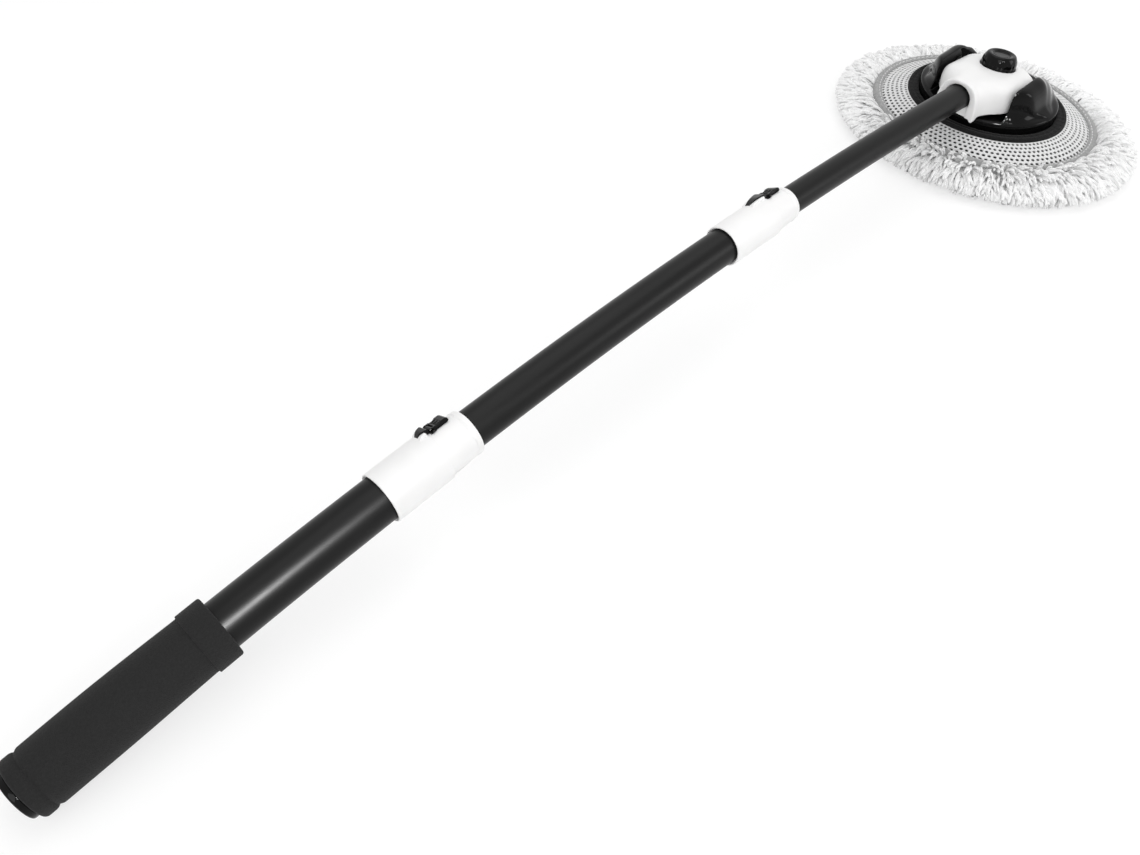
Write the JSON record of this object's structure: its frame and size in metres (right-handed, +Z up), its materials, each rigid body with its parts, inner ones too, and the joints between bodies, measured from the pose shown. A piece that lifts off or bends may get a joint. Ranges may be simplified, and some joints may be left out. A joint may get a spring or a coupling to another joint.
{
  "type": "car wash brush",
  "caption": "Car wash brush with an oval chenille mop pad on a tilting head, a push button tilt brake and a bowed telescoping pole with cam clamps and a foam grip.",
  "frame": {"origin": "centre of the pad's sole, on the floor", "axes": "+Z up out of the pad, +X along the pole from the grip towards the head, +Y along the pad's long way"},
  "size_m": [0.9758, 0.2624, 0.0816],
  "materials": {
    "tube_black": "satin black anodised",
    "grip_foam": "matte closed-cell foam",
    "gloss_black": "glossy moulded black",
    "matte_black": "satin moulded black",
    "white_plastic": "semi-gloss moulded white",
    "brake_rubber": "matte",
    "steel": "zinc plated",
    "mesh_fabric": "light grey woven mesh",
    "hem_fabric": "matte black elastic",
    "binding_fabric": "grey woven binding tape",
    "pad_foam": "soft open-cell filling",
    "chenille": "light chenille strands"
  },
  "bodies": {
    "handle": {"outer_tube": "tube_black", "grip_foam": "grip_foam", "end_cap": "gloss_black", "lower_collar_body": "white_plastic", "lower_collar_nose": "white_plastic", "lower_bush": "matte_black", "lower_brake_shoe": "brake_rubber", "lower_lever_pin": "steel"},
    "lower_lever": {"lower_lever": "gloss_black"},
    "middle_section": {"middle_tube": "tube_black", "middle_tail_bush": "matte_black", "upper_collar_body": "white_plastic", "upper_collar_nose": "white_plastic", "upper_bush": "matte_black", "upper_brake_shoe": "brake_rubber", "upper_lever_pin": "steel"},
    "upper_lever": {"upper_lever": "gloss_black"},
    "front_section": {"front_tube": "tube_black", "front_tail_bush": "matte_black", "bracket_shell": "white_plastic", "bracket_keeper": "white_plastic", "keeper_screw_front": "steel", "keeper_screw_rear": "steel", "button_spring": "steel"},
    "push_button": {"push_button": "gloss_black", "brake_bar": "matte_black"},
    "mop_head": {"base_plate": "matte_black", "pivot_housing": "gloss_black", "axle_saddle_near": "matte_black", "axle_saddle_far": "matte_black", "tilt_axle": "steel", "brake_drum_near": "steel", "brake_drum_far": "steel", "thrust_washer_near": "matte_black", "thrust_washer_far": "matte_black", "housing_screw_1": "steel", "housing_screw_2": "steel", "housing_screw_3": "steel", "housing_screw_4": "steel", "mesh_cover": "mesh_fabric", "elastic_hem": "hem_fabric", "binding_ring": "binding_fabric", "pad_core": "pad_foam", "sole_pile": "chenille", "fringe_1": "chenille", "fringe_2": "chenille", "fringe_3": "chenille", "fringe_4": "chenille"}
  },
  "joints": [
    {"name": "middle_slide", "type": "hinge", "parent": "handle", "child": "middle_section", "pos_m": [-0.31666, 0, -3.04485], "axis": [0, -1, 0], "range_deg": [0, 4.01]},
    {"name": "front_slide", "type": "hinge", "parent": "middle_section", "child": "front_section", "pos_m": [-0.31666, 0, -3.04485], "axis": [0, -1, 0], "range_deg": [0, 3.94]},
    {"name": "lower_lever_flip", "type": "hinge", "parent": "handle", "child": "lower_lever", "pos_m": [-0.59233, 0.00783, 0.06652], "axis": [-0.0441, -0.866, 0.498], "range_deg": [0, 100]},
    {"name": "upper_lever_flip", "type": "hinge", "parent": "middle_section", "child": "upper_lever", "pos_m": [-0.29642, 0.00673, 0.07674], "axis": [0.0032, -0.866, 0.5], "range_deg": [0, 100]},
    {"name": "button_press", "type": "slide", "parent": "front_section", "child": "push_button", "axis": [-0.165, 0, -0.9863], "range_m": [0, 0.0035], "stiffness_N_per_m": 1200, "springref_m": -0.004, "deforming": ["button_spring"]},
    {"name": "head_tilt", "type": "hinge", "parent": "front_section", "child": "mop_head", "pos_m": [0, 0, 0.04799], "axis": [0, -1, 0], "range_deg": [0, 165]}
  ]
}
